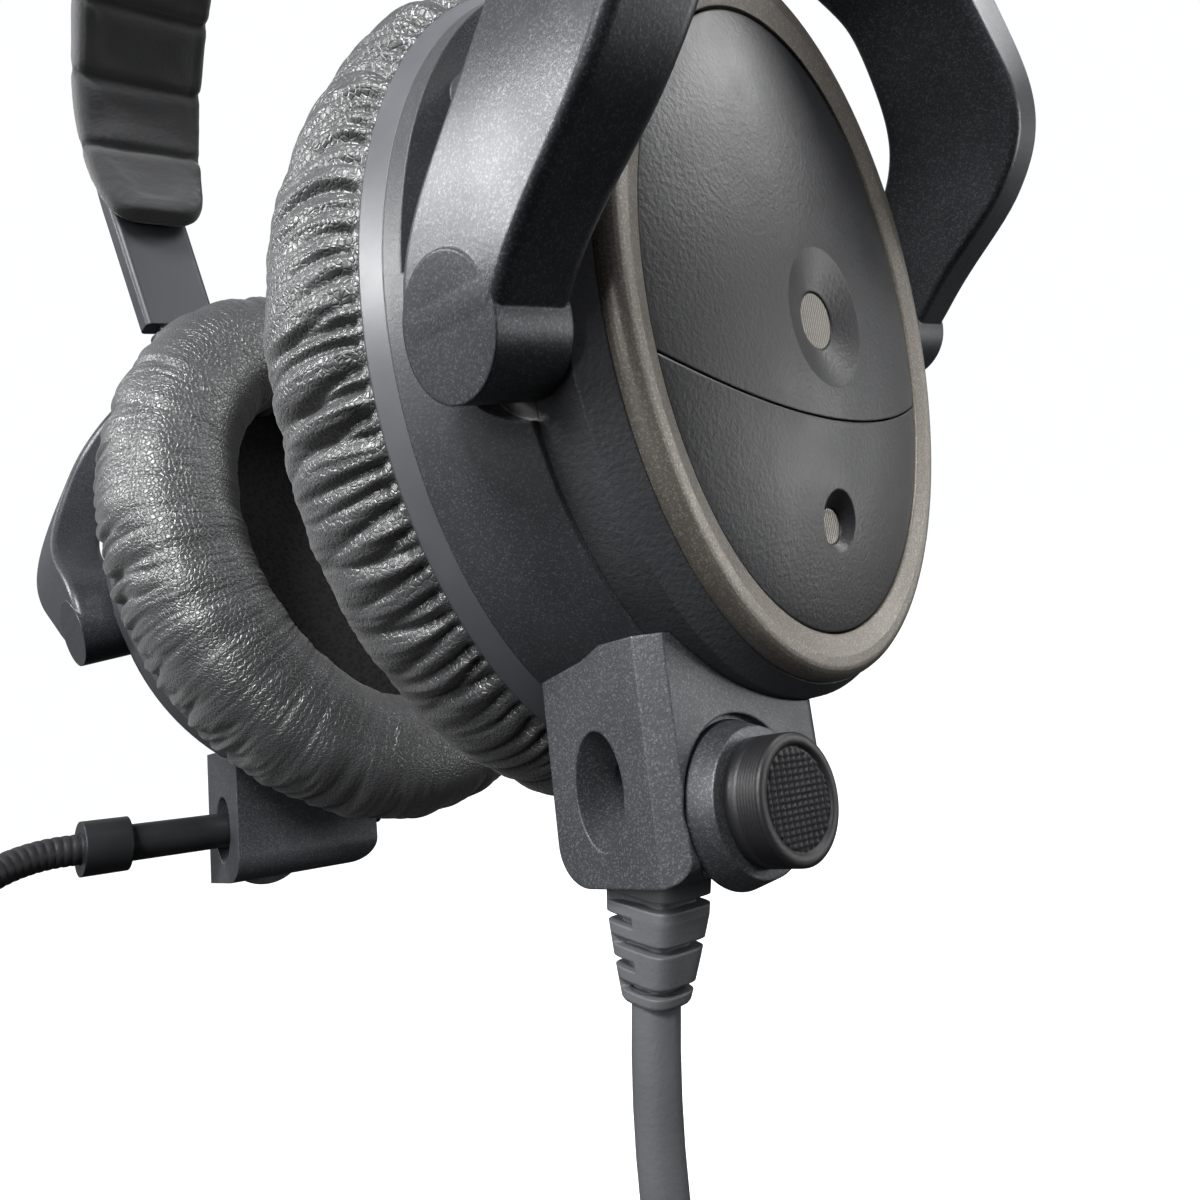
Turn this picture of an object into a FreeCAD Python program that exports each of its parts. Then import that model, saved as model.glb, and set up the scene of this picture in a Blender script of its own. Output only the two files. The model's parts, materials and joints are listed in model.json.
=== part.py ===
import FreeCAD, Part
import math
import os

# Aviation headset: two ear cups in yokes on a sprung two-part headband, a boom
# microphone on the right cup and a coiled, tied cord with a panel plug on the left.
# Frame: mm, +Z up, the wearer faces -Y, +X is the wearer's left.  The origin is the
# middle of the crown pad's underside, where the headset rests on the head.

V = FreeCAD.Vector

# ---- driving dimensions ------------------------------------------------------------
# ear cup: every cup part is drawn in a cup frame (x outward, y rearward, z up)
CUP_X, CUP_Z, CUP_TILT = 73.0, -132.0, 8.5     # cup frame origin and lean of its axis
SINK = -0.05                                    # drop of the oval's middle per mm inward
SHELL_OUT = [(-23.0, 39.1, 48.3), (-16.0, 37.9, 46.5), (-9.0, 35.6, 43.4)]
SHELL_WALL = 2.2
BEZEL_OUT = [(-9.0, 35.0, 42.8), (-3.7, 34.1, 41.7), (-1.6, 31.2, 40.2)]
BEZEL_SEAT = -3.2                               # the panels and the trim ring sit here
TRIM_OUT = (31.0, 40.0)
TRIM_IN = (26.6, 34.6)
TRIM_CREST = 0.45
PANEL = (26.4, 34.3)
PANEL_EDGE, PANEL_RISE = -0.35, 2.9
SPLIT_Y, SPLIT_Z, SPLIT_R = 10.0, 64.8, 76.0    # arc that parts the two panels
PORT_UP = (1.2, 0.9, 0.9, 3.1, 8.6, 1.8)        # y, z, floor, floor radius, dish radius, depth
PORT_LOW = (-2.3, -22.0, 0.1, 2.0, 3.5, 1.3)
FLANGE_X, FLANGE = -27.0, (39.4, 50.6)
CUSHION_OUT = [(-27.0, 39.6, 50.6), (-29.5, 41.4, 53.0), (-33.0, 42.4, 54.4), (-37.5, 42.7, 54.8),
               (-42.0, 42.3, 54.2), (-46.0, 40.8, 52.4), (-48.8, 38.4, 49.6), (-50.4, 34.6, 45.4)]
CUSHION_IN = [(-26.9, 23.6, 34.6), (-31.0, 23.4, 34.4), (-37.0, 22.0, 33.0), (-43.0, 21.8, 32.8),
              (-47.0, 23.4, 34.6), (-50.5, 27.4, 38.6)]
DRIVER_R, MAGNET_R = 17.0, 10.0
SCREW_Y, SCREW_Z = 23.5, 29.5

# yoke: arms drawn in the cup frame, running up from the pivots and over the cup
PIVOT_X, PIVOT_Z = -8.0, 2.0
PIN_R, PIN_HOLE_R = 2.0, 2.05
POCKET_Y, POCKET_R = 34.3, 8.0
RECESS_IN, RECESS_Z, RECESS_FLOOR = -20.4, 11.0, (34.0, 43.0)
ARM_W, ARM_T = 12.6, 8.6
# arms: x, y, z of the middle, lean and width of each section
ARM_PATH = [(-8.0, 39.0, 2.0, 0, 12.6), (-6.0, 38.9, 6.0, 0, 16.0), (-3.0, 38.4, 10.0, 1, 19.0),
            (1.4, 37.7, 14.5, 4, 20.4), (6.0, 36.4, 20.0, 10, 18.8), (8.4, 33.4, 27.0, 21, 16.4),
            (8.2, 29.0, 34.5, 34, 14.6), (6.0, 22.3, 43.4, 47, 13.4), (2.8, 13.4, 51.2, 66, 12.6),
            (-0.6, 5.4, 55.6, 82, 12.6)]
BOSS_X, BOSS_R, BOSS_TOP, BOSS_BOT = 79.0, 6.8, -64.0, -80.0
SWIVEL_R = 4.0

# headband
BAND_TOP, BAND_R1, BAND_A1 = 16.0, 105.0, 40.0
BAND_T, BAND_W = 5.6, 16.0
LEG_BOTTOM = -62.0
STEM_W, STEM_T, STEM_TOP = 10.0, 3.2, -35.0
HINGE_X, KNUCKLE_R, KNUCKLE_W = 12.0, 4.2, 8.0
HOUSE_X, HOUSE_W, HOUSE_BOT, HOUSE_TOP = 17.5, 18.0, 11.0, 21.0

# boom module: drawn in its own frame (x outward, y along the bore, z up)
MOD_X, MOD_Y, MOD_Z, MOD_LEAN = 53.3, -32.7, -172.4, 15.0
MOD_IN, MOD_OUT, MOD_DEEP, MOD_BOT, MOD_TOP = -7.4, 9.5, 27.0, -9.6, 14.6
BORE_R, ROD_R = 3.25, 3.15
KNOB_Y, KNOB_Z, KNOB_R, RING_R = 11.3, -3.0, 6.5, 8.7

# cord
CORD_D = 5.2
RELIEF_TOP = V(54.0, -28.9, -182.6)
RELIEF_DIR = V(-0.19, -0.267, -0.945)
RELIEF_LEN = 13.0
COIL_C, COIL_R, COIL_PACK = V(46.0, -9.0, -280.0), 30.0, 7.8
PLUG_X, PLUG_Y, PLUG_TOP = 48.5, -38.0, -346.0


# ---- helpers -----------------------------------------------------------------------
def box(x0, x1, y0, y1, z0, z1):
    return Part.makeBox(x1 - x0, y1 - y0, z1 - z0, V(x0, y0, z0))


def rod_x(r, x0, x1, y, z):
    return Part.makeCylinder(r, x1 - x0, V(x0, y, z), V(1, 0, 0))


def rod_y(r, y0, y1, x, z):
    return Part.makeCylinder(r, y1 - y0, V(x, y0, z), V(0, 1, 0))


def rod_z(r, z0, z1, x, y):
    return Part.makeCylinder(r, z1 - z0, V(x, y, z0), V(0, 0, 1))


def oval(x, a, b):
    """Upright oval wire in the plane x, half width a and half height b."""
    z = -SINK * min(x + 9.0, 0.0)
    curve = Part.Ellipse(V(x, 0, z + b), V(x, a, z), V(x, 0, z))
    return Part.Wire(curve.toShape())


def ovals(sections, ruled=True):
    return Part.makeLoft([oval(*s) for s in sections], True, ruled)


def oval_block(x0, x1, a, b):
    return ovals([(x0, a, b), (x1, a, b)])


def join(shapes):
    out = shapes[0]
    for shape in shapes[1:]:
        out = out.fuse(shape)
    clean = out.removeSplitter()
    return clean if abs(clean.Volume - out.Volume) < 0.01 else out


def minus(shape, tools):
    for tool in tools:
        shape = shape.cut(tool)
    return shape


def cup_placed(shape):
    out = shape.copy()
    out.rotate(V(0, 0, 0), V(0, 1, 0), CUP_TILT)
    out.translate(V(CUP_X, 0, CUP_Z))
    return out


def mod_placed(shape):
    out = shape.copy()
    out.rotate(V(0, 0, 0), V(1, 0, 0), -MOD_LEAN)
    out.translate(V(MOD_X, MOD_Y, MOD_Z))
    return out


def flip(shape):
    """The same part for the other side of the head."""
    return shape.mirror(V(0, 0, 0), V(1, 0, 0))


def rounded_rect(centre, along, across, w, t, r):
    """Rounded rectangle wire about centre; w runs along, t runs across."""
    pts = []
    arcs = []
    for sx, sy in ((1, 1), (-1, 1), (-1, -1), (1, -1)):
        mid = centre + along * (sx * (w / 2 - r)) + across * (sy * (t / 2 - r))
        side = mid + along * (sx * r)
        cap = mid + across * (sy * r)
        diag = mid + (along * sx + across * sy) * (r * math.sqrt(0.5))
        first, last = (side, cap) if sx == sy else (cap, side)
        arcs.append(Part.Arc(first, diag, last).toShape())
        pts.append((first, last))
    edges = []
    for i in range(4):
        edges.append(arcs[i])
        edges.append(Part.LineSegment(pts[i][1], pts[(i + 1) % 4][0]).toShape())
    return Part.Wire(edges)


def tube_path(points):
    """Straight runs joined by tangent arcs, as one wire."""
    edges = []
    start = points[0]
    for i in range(1, len(points) - 1):
        a = points[i] - points[i - 1]
        b = points[i + 1] - points[i]
        half = a.getAngle(b) / 2
        cut = 0.45 * min(a.Length, b.Length)
        a.normalize()
        b.normalize()
        p = points[i] - a * cut
        q = points[i] + b * cut
        to_mid = b - a
        to_mid.normalize()
        mid = points[i] + to_mid * (cut * math.tan(half / 2))
        edges.append(Part.LineSegment(start, p).toShape())
        edges.append(Part.Arc(p, mid, q).toShape())
        start = q
    edges.append(Part.LineSegment(start, points[-1]).toShape())
    return Part.Wire(edges)


def tube(points, radius):
    path = tube_path(points)
    ahead = points[1] - points[0]
    ring = Part.Wire(Part.Circle(points[0], ahead, radius).toShape())
    return path.makePipeShell([ring], True, False)


# ---- ear cup, in the cup frame -------------------------------------------------------
def arm_pockets(z_top=30.0):
    """Round pockets and the slots above them that the yoke arms swing in."""
    cuts = []
    for s in (-1, 1):
        y0, y1 = sorted((s * POCKET_Y, s * 60.0))
        cuts.append(rod_y(POCKET_R, y0, y1, PIVOT_X, PIVOT_Z))
        cuts.append(box(PIVOT_X - 9.5, PIVOT_X + 14, y0, y1, PIVOT_Z, z_top))
        y0, y1 = sorted((s * (POCKET_Y - 1.3), s * 60.0))
        cuts.append(box(PIVOT_X - 9.5, PIVOT_X + 14, y0, y1, PIVOT_Z + 5.0, z_top))
    return cuts


def pivot_bosses(radius):
    return [rod_y(radius, 26.0, POCKET_Y, PIVOT_X, PIVOT_Z),
            rod_y(radius, -POCKET_Y, -26.0, PIVOT_X, PIVOT_Z)]


def pivot_holes(radius):
    return [rod_y(radius, 20.0, 60.0, PIVOT_X, PIVOT_Z),
            rod_y(radius, -60.0, -20.0, PIVOT_X, PIVOT_Z)]


def screw_places():
    return [(sy * SCREW_Y, sz * SCREW_Z) for sy in (-1, 1) for sz in (-1, 1)]


def shell_recess():
    """Step down round the upper half of the shell, behind a thin rim, where the arms lie."""
    band = box(RECESS_IN, -9.0, -60, 60, RECESS_Z, 60)
    return band.cut(ovals([(RECESS_IN - 1, *RECESS_FLOOR), (-8.0, *RECESS_FLOOR)]))


def ear_shell():
    body = minus(ovals(SHELL_OUT), arm_pockets() + [shell_recess()])
    hollow = ovals([(-23.5, 32.6, 41.6), (-16.0, 32.2, 41.0), (-11.0, 31.2, 39.8)])
    body = minus(body, [hollow, oval_block(-12, -8, 20.0, 28.0)])
    bosses = [rod_x(3.0, -23.0, -12.0, y, z) for y, z in screw_places()]
    for boss in pivot_bosses(4.6) + bosses:
        body = body.fuse(boss)
    return minus(body, pivot_holes(PIN_HOLE_R) + [rod_x(0.95, -24, -18, y, z) for y, z in screw_places()])


def outer_bezel():
    body = ovals(BEZEL_OUT)
    cuts = [oval_block(BEZEL_SEAT, 0, TRIM_OUT[0] + 0.05, TRIM_OUT[1] + 0.05),
            oval_block(-9.1, -5.2, 32.0, 39.5),
            oval_block(-9.1, 0, 24.0, 31.0)]
    return minus(body, arm_pockets() + cuts + pivot_bosses(4.7))


def trim_ring():
    a, b = TRIM_OUT
    c, d = TRIM_IN
    outer = [(BEZEL_SEAT, a, b), (-1.6, a, b)]
    for i in range(1, 7):
        t = math.radians(15 * i)
        outer.append((-1.6 + (TRIM_CREST + 1.6) * math.sin(t), a - 1.7 * (1 - math.cos(t)),
                      b - 1.7 * (1 - math.cos(t))))
    outer.append((TRIM_CREST - 0.1, a - 3.3, b - 3.5))
    ring = ovals(outer[:-1]).cut(oval_block(-4, 2, c, d))
    slope = ovals([(-0.1, c - 0.05, d - 0.05), (TRIM_CREST + 0.02, a - 2.6, b - 2.8)])
    return ring.cut(slope)


def panel_dome():
    a, b = PANEL
    sections = [(PANEL_EDGE, a, b)]
    for k in (0.985, 0.95, 0.88, 0.78, 0.65, 0.5, 0.35, 0.2, 0.06):
        sections.append((PANEL_EDGE + PANEL_RISE * (1 - k * k) ** 0.9, a * k, b * k))
    dome = ovals(sections, False)
    block = join([oval_block(BEZEL_SEAT, PANEL_EDGE, a, b), dome])
    return block.cut(oval_block(-4, -0.6, 23.5, 31.5))


def port_cut(port):
    """Dished recess in the panel and the hole behind it for the mesh disc."""
    y, z, floor, r0, r1, depth = port
    deep = depth + 0.6
    dish = Part.makeCone(r0, r0 + (r1 - r0) * deep / depth, deep, V(floor, y, z), V(1, 0, 0))
    return [rod_x(r0 + 0.3, -1.0, floor, y, z), rod_x(r0, floor - 0.1, floor + 0.1, y, z), dish]


def panels():
    dome = panel_dome()
    inner = rod_x(SPLIT_R - 0.12, -5, 5, SPLIT_Y, SPLIT_Z)
    outer = rod_x(SPLIT_R + 0.12, -5, 5, SPLIT_Y, SPLIT_Z)
    ports = port_cut(PORT_UP) + port_cut(PORT_LOW)
    return minus(dome.common(inner), ports), minus(dome.cut(outer), ports)


def port_meshes():
    discs = []
    for y, z, floor, r0, r1, depth in (PORT_UP, PORT_LOW):
        discs.append(rod_x(r0 + 0.3, floor - 0.5, floor, y, z))
    return Part.makeCompound(discs)


def baffle():
    plate = ovals([(FLANGE_X, FLANGE[0], FLANGE[1]), (-23.0, 39.1, 48.3)])
    cuts = [rod_x(DRIVER_R + 0.05, -28, -22, 0, 0)]
    for y, z in screw_places():
        cuts.append(rod_x(0.95, -28, -22, y, z))
        cuts.append(rod_x(2.0, FLANGE_X - 0.1, FLANGE_X + 1.6, y, z))
    return minus(plate, cuts)


def speaker_driver():
    ring = rod_x(DRIVER_R + 2.0, -28.6, FLANGE_X, 0, 0)
    basket = rod_x(DRIVER_R, FLANGE_X, -21.5, 0, 0)
    magnet = rod_x(MAGNET_R, -21.5, -14.5, 0, 0)
    bowl = Part.makeCone(DRIVER_R - 2.5, 4.0, 4.0, V(-28.7, 0, 0), V(1, 0, 0))
    return join([ring, basket, magnet]).cut(bowl)


def circuit_board():
    board = oval_block(-9.0, -7.6, 23.5, 32.0)
    chips = []
    for y, z, w, h in ((8.0, 14.0, 7.0, 7.0), (-9.0, 15.0, 5.0, 4.0), (-8.0, -9.0, 9.0, 6.0), (9.0, -12.0, 4.0, 8.0)):
        chips.append(box(-7.6, -6.2, y - w / 2, y + w / 2, z - h / 2, z + h / 2))
    capsules = [rod_x(2.8, -7.6, 0.2, PORT_UP[0], PORT_UP[1]),
                rod_x(1.8, -7.6, -0.6, PORT_LOW[0], PORT_LOW[1])]
    return join([board] + chips + capsules)


def ear_cushion():
    return ovals(CUSHION_OUT, False).cut(ovals(CUSHION_IN, False))


def ear_screen():
    return oval_block(-29.4, -28.6, 23.2, 34.1)


def cup_screws():
    screws = []
    for y, z in screw_places():
        head = rod_x(1.9, FLANGE_X + 0.1, FLANGE_X + 1.6, y, z)
        screws.append(join([head, rod_x(0.9, FLANGE_X + 1.6, -18.5, y, z)]))
    return Part.makeCompound(screws)


# ---- yoke and stem -------------------------------------------------------------------
def arm_section(x, y, z, lean, width, side):
    """Rounded-rectangle section of an arm, square to its run."""
    t = math.radians(lean)
    across = V(0, side * math.cos(t), math.sin(t))
    return rounded_rect(V(x, side * y, z), V(1, 0, 0), across, width, ARM_T, 1.2)


def yoke():
    wires = [arm_section(*place, -1) for place in ARM_PATH]
    wires.append(arm_section(-2.5, 0.0, 56.6, 90, ARM_W, -1))
    wires += [arm_section(*place, 1) for place in reversed(ARM_PATH)]
    bow = Part.makeLoft(wires, True, False)
    ends = [rod_y(ARM_W / 2, 34.7, 43.3, PIVOT_X, PIVOT_Z), rod_y(ARM_W / 2, -43.3, -34.7, PIVOT_X, PIVOT_Z)]
    body = cup_placed(minus(bow.fuse(ends[0]).fuse(ends[1]), pivot_pins(30.0)))
    boss = rod_z(BOSS_R, BOSS_BOT, BOSS_TOP, BOSS_X, 0)
    return body.fuse(boss).cut(rod_z(SWIVEL_R + 0.05, BOSS_BOT + 2.5, BOSS_TOP + 1, BOSS_X, 0))


def pivot_pins(inner):
    """The two pivot pins, from inner out to their blind ends in the arms."""
    return [rod_y(PIN_R, inner, 41.0, PIVOT_X, PIVOT_Z), rod_y(PIN_R, -41.0, -inner, PIVOT_X, PIVOT_Z)]


def yoke_pins():
    return cup_placed(Part.makeCompound(pivot_pins(27.0)))


def slider_stem():
    bar = box(BOSS_X - STEM_T / 2, BOSS_X + STEM_T / 2, -STEM_W / 2, STEM_W / 2, BOSS_TOP + 0.3, STEM_TOP)
    pin = rod_z(SWIVEL_R, BOSS_BOT + 3.0, BOSS_TOP + 0.4, BOSS_X, 0)
    return join([bar.makeFillet(0.8, bar.Edges), pin])


# ---- headband ------------------------------------------------------------------------
def band_r2():
    """Radius of the shoulder bend that brings the leg upright over the yoke."""
    a1 = math.radians(BAND_A1)
    return (BOSS_X - BAND_R1 * math.sin(a1)) / (1 - math.sin(a1))


def band_face(inside, outside, a0, leg_bottom):
    """Strip of the band's side view between two offsets from its middle line."""
    a1 = math.radians(BAND_A1)
    c1 = V(0, 0, BAND_TOP - BAND_R1)
    r2 = band_r2()
    c2 = c1 + V(math.sin(a1), 0, math.cos(a1)) * (BAND_R1 - r2)

    def at(c, r, deg):
        t = math.radians(deg)
        return c + V(math.sin(t), 0, math.cos(t)) * r

    rims = []
    for off in (outside, inside):
        p = [at(c1, BAND_R1 + off, a0), at(c1, BAND_R1 + off, (a0 + BAND_A1) / 2),
             at(c1, BAND_R1 + off, BAND_A1), at(c2, r2 + off, (BAND_A1 + 90) / 2),
             at(c2, r2 + off, 90), V(BOSS_X + off, 0, leg_bottom)]
        rims.append(p)
    o, i = rims
    edges = [Part.Arc(o[0], o[1], o[2]).toShape(), Part.Arc(o[2], o[3], o[4]).toShape(),
             Part.LineSegment(o[4], o[5]).toShape(), Part.LineSegment(o[5], i[5]).toShape(),
             Part.LineSegment(i[5], i[4]).toShape(), Part.Arc(i[4], i[3], i[2]).toShape(),
             Part.Arc(i[2], i[1], i[0]).toShape(), Part.LineSegment(i[0], o[0]).toShape()]
    return Part.Face(Part.Wire(edges))


def strip(inside, outside, a0, leg_bottom, width):
    face = band_face(inside, outside, a0, leg_bottom)
    face.translate(V(0, -width / 2, 0))
    return face.extrude(V(0, width, 0))


def side_band():
    band = strip(-BAND_T / 2, BAND_T / 2, 10.2, LEG_BOTTOM, BAND_W)
    long_edges = [e for e in band.Edges if e.BoundBox.YLength < 0.01 and e.Length > 20]
    band = band.makeFillet(1.2, long_edges)
    knuckle = rod_y(KNUCKLE_R, -KNUCKLE_W / 2, KNUCKLE_W / 2, HINGE_X, BAND_TOP)
    web = box(HINGE_X, 21.0, -KNUCKLE_W / 2, KNUCKLE_W / 2, 12.4, 16.6)
    channel = box(BOSS_X - STEM_T / 2 - 0.05, BOSS_X + STEM_T / 2 + 0.05,
                  -STEM_W / 2 - 0.05, STEM_W / 2 + 0.05, LEG_BOTTOM - 1, STEM_TOP + 1.0)
    arm = band.cut(channel).fuse(web).fuse(knuckle)
    return arm.cut(rod_y(1.55, -20, 20, HINGE_X, BAND_TOP))


def band_pad():
    """Pad under the side band, in a plane-sided slab bent with the band."""
    pad = strip(-BAND_T / 2 - 9.0, -BAND_T / 2, 12.6, -38.0, 26.0)
    return pad.cut(box(66.0, 90.0, -20, 20, -60, -31.0))


def hinge_housing():
    body = box(-HOUSE_X, HOUSE_X, -HOUSE_W / 2, HOUSE_W / 2, HOUSE_BOT, HOUSE_TOP)
    upright = [e for e in body.Edges if abs(e.BoundBox.ZMax - e.BoundBox.ZMin) > 5]
    body = body.makeFillet(3.0, upright)
    cuts = []
    for s in (-1, 1):
        x0, x1 = sorted((s * (HINGE_X - 5.0), s * (HOUSE_X + 1)))
        cuts.append(box(x0, x1, -4.1, 4.1, HOUSE_BOT + 0.6, HOUSE_TOP + 1))
        cuts.append(rod_y(1.5, -20, 20, s * HINGE_X, BAND_TOP))
        for y0, y1 in ((4.05, 6.3), (-6.3, -4.05)):
            cuts.append(rod_y(3.2, y0, y1, s * HINGE_X, BAND_TOP))
    for s in (-1, 1):
        cuts.append(rod_z(0.9, HOUSE_BOT + 3, HOUSE_TOP + 1, 0, s * 5.5))
    return minus(body, cuts)


def top_cover():
    plate = box(-HOUSE_X, HOUSE_X, -HOUSE_W / 2, HOUSE_W / 2, HOUSE_TOP, HOUSE_TOP + 2.0)
    upright = [e for e in plate.Edges if abs(e.BoundBox.ZMax - e.BoundBox.ZMin) > 1.5]
    plate = plate.makeFillet(3.0, upright)
    rim = [e for e in plate.Edges if e.BoundBox.ZMin > HOUSE_TOP + 1.9]
    plate = plate.makeFillet(0.8, rim)
    cuts = []
    for s in (-1, 1):
        cuts.append(rod_z(0.9, HOUSE_TOP - 1, HOUSE_TOP + 3, 0, s * 5.5))
        cuts.append(rod_z(1.9, HOUSE_TOP + 1.0, HOUSE_TOP + 3, 0, s * 5.5))
    return minus(plate, cuts)


def cover_screws():
    screws = []
    for s in (-1, 1):
        head = rod_z(1.8, HOUSE_TOP + 1.0, HOUSE_TOP + 1.9, 0, s * 5.5)
        screws.append(join([head, rod_z(0.85, HOUSE_BOT + 3.5, HOUSE_TOP + 1.0, 0, s * 5.5)]))
    return Part.makeCompound(screws)


def hinge_pins():
    return Part.makeCompound([rod_y(1.5, -8.8, 8.8, s * HINGE_X, BAND_TOP) for s in (-1, 1)])


def torsion_springs():
    coils = []
    for s in (-1, 1):
        for y0, y1 in ((4.2, 6.2), (-6.2, -4.2)):
            ring = rod_y(3.0, y0, y1, s * HINGE_X, BAND_TOP)
            coils.append(ring.cut(rod_y(1.6, y0 - 1, y1 + 1, s * HINGE_X, BAND_TOP)))
    return Part.makeCompound(coils)


def crown_pad():
    pad = box(-19.0, 19.0, -14.0, 14.0, 0.0, HOUSE_BOT)
    upright = [e for e in pad.Edges if abs(e.BoundBox.ZMax - e.BoundBox.ZMin) > 5]
    pad = pad.makeFillet(4.0, upright)
    under = [e for e in pad.Edges if e.BoundBox.ZMax < 0.1]
    return pad.makeFillet(3.0, under)


# ---- boom module, in its own frame -----------------------------------------------------
def cup_envelope():
    grown = [(-30.0, 41.0, 52.5), (-27.05, 39.45, 50.65), (-23.0, 39.15, 48.35), (-16.0, 37.95, 46.55),
             (-9.0, 35.65, 43.45)]
    front = [(-9.0, 35.1, 42.9), (-3.65, 34.2, 41.8), (2.0, 31.2, 40.2)]
    return cup_placed(join([ovals(grown), ovals(front)]))


def module_envelope():
    """The cup's outside, taken into the module's frame."""
    env = cup_envelope()
    env.translate(V(-MOD_X, -MOD_Y, -MOD_Z))
    env.rotate(V(0, 0, 0), V(1, 0, 0), MOD_LEAN)
    return env


def boom_module():
    x0, x1 = MOD_IN, MOD_OUT
    pts = [V(x0, 0, MOD_TOP), V(x1 - 2.2, 0, MOD_TOP), V(x1, 2.2, MOD_TOP), V(x1, MOD_DEEP, MOD_TOP),
           V(x0, MOD_DEEP, MOD_TOP)]
    plan = Part.Face(Part.makePolygon(pts + [pts[0]]))
    block = plan.extrude(V(0, 0, MOD_BOT - MOD_TOP))
    low = [e for e in block.Edges if e.BoundBox.ZMax < MOD_BOT + 0.1 and
           (e.BoundBox.XMax < x0 + 0.1 or e.BoundBox.YMin > MOD_DEEP - 0.1)]
    block = block.makeFillet(4.5, low)
    edge = [e for e in block.Edges if e.BoundBox.ZMax < MOD_BOT + 0.1 and e.BoundBox.XMin > x1 - 0.1]
    block = block.makeFillet(2.4, edge)
    mouth = Part.Ellipse(V(0, -0.05, 6.1), V(3.6, -0.05, 0), V(0, -0.05, 0)).toShape()
    throat = Part.Circle(V(0, 5.0, 0), V(0, 1, 0), BORE_R).toShape()
    funnel = Part.makeLoft([Part.Wire(mouth), Part.Wire(throat)], True, True)
    cuts = [funnel, rod_y(BORE_R, -1, 45, 0, 0), module_envelope(),
            rod_x(9.2, MOD_OUT - 0.9, MOD_OUT + 1, KNOB_Y, KNOB_Z),
            rod_x(2.55, 5.0, MOD_OUT + 1, KNOB_Y, KNOB_Z),
            rod_x(3.9, 2.8, 6.3, KNOB_Y, KNOB_Z)]
    return minus(block, cuts)


def knob_ring():
    cone = Part.makeCone(RING_R, RING_R - 1.1, 3.2, V(MOD_OUT - 0.9, KNOB_Y, KNOB_Z), V(1, 0, 0))
    return cone.cut(rod_x(2.6, 0, 20, KNOB_Y, KNOB_Z))


def clamp_knob():
    face = MOD_OUT + 2.35
    head = rod_x(KNOB_R, face, face + 4.6, KNOB_Y, KNOB_Z)
    rim = [e for e in head.Edges if e.BoundBox.XMin > face + 4.5]
    head = head.makeFillet(0.5, rim)
    return join([head, rod_x(2.5, 6.5, face + 1, KNOB_Y, KNOB_Z), rod_x(1.2, 4.9, 7.0, KNOB_Y, KNOB_Z)])


def clamp_shoe():
    disc = rod_x(3.8, 4.2, 6.0, KNOB_Y, KNOB_Z)
    return disc.cut(rod_x(1.25, 4.75, 7.0, KNOB_Y, KNOB_Z))


# ---- boom microphone, in the module's frame ---------------------------------------------
GOOSE = [V(0, -17.0, 0), V(0, -31.0, 0), V(-10.0, -52.0, -10.0), V(-30.0, -62.0, -24.0)]
MIC_R, MIC_LEN = 4.6, 13.0


def boom_arm():
    rod = rod_y(ROD_R, -17.0, 29.5, 0, 0)
    collar = rod_y(4.6, -23.0, -16.0, 0, 0)
    cap = rod_y(2.6, 29.5, 31.0, 0, 0)
    return join([rod, collar, cap]).cut(rod_y(2.65, -24.0, -17.9, 0, 0))


def gooseneck():
    route = [V(0, -18.0, 0)] + GOOSE[1:]
    return tube(route, 2.6)


def mic_axis():
    d = GOOSE[3] - GOOSE[2]
    d.normalize()
    return d


def mic_housing():
    d = mic_axis()
    neck = Part.makeCylinder(3.4, 4.0, GOOSE[3] - d * 3.0, d)
    body = Part.makeCylinder(MIC_R, MIC_LEN, GOOSE[3] + d * 1.0, d)
    hole = Part.makeCylinder(2.65, 3.0, GOOSE[3] - d * 3.0, d)
    return join([neck, body]).cut(hole)


def windscreen():
    d = mic_axis()
    middle = GOOSE[3] + d * 9.0
    foam = Part.makeSphere(9.5, middle)
    back = Part.makeCylinder(15.0, 20.0, GOOSE[3] + d * 2.0, d * -1)
    inner = Part.makeCylinder(MIC_R, MIC_LEN, GOOSE[3] + d * 1.0, d)
    return minus(foam, [back, inner])


# ---- cord --------------------------------------------------------------------------------
def relief_axis():
    d = V(RELIEF_DIR.x, RELIEF_DIR.y, RELIEF_DIR.z)
    d.normalize()
    return d


def strain_relief(module):
    d = relief_axis()
    out = V(1, 0, 0) - d * d.x
    out.normalize()
    fore = d.cross(out)
    wires = []
    for s, w, t, r in ((-0.5, 9.4, 8.2, 1.2), (4.0, 9.2, 8.0, 1.4), (8.5, 7.8, 7.0, 1.8), (RELIEF_LEN, 6.4, 6.0, 2.4)):
        wires.append(rounded_rect(RELIEF_TOP + d * s, out, fore, w, t, r))
    return Part.makeLoft(wires, True, True).cut(module)


def cord_points():
    d = relief_axis()
    start = RELIEF_TOP + d * RELIEF_LEN
    side = COIL_C.y - COIL_R
    return [start, start + d * 16.0, V(COIL_C.x, side, -238.0), V(COIL_C.x, side + 0.01, COIL_C.z)]


def tail_points():
    return [V(PLUG_X - 0.5, COIL_C.y - COIL_R, COIL_C.z), V(PLUG_X, PLUG_Y, -318.0), V(PLUG_X, PLUG_Y + 0.01, PLUG_TOP)]


def cord_coil():
    return Part.makeTorus(COIL_R, COIL_PACK, COIL_C, V(1, 0, 0))


def cable_tie():
    top = COIL_C + V(0, 0, COIL_R)
    band = Part.makeCylinder(COIL_PACK + 1.3, 6.0, top - V(0, 3.0, 0), V(0, 1, 0))
    return band.cut(cord_coil())


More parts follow.
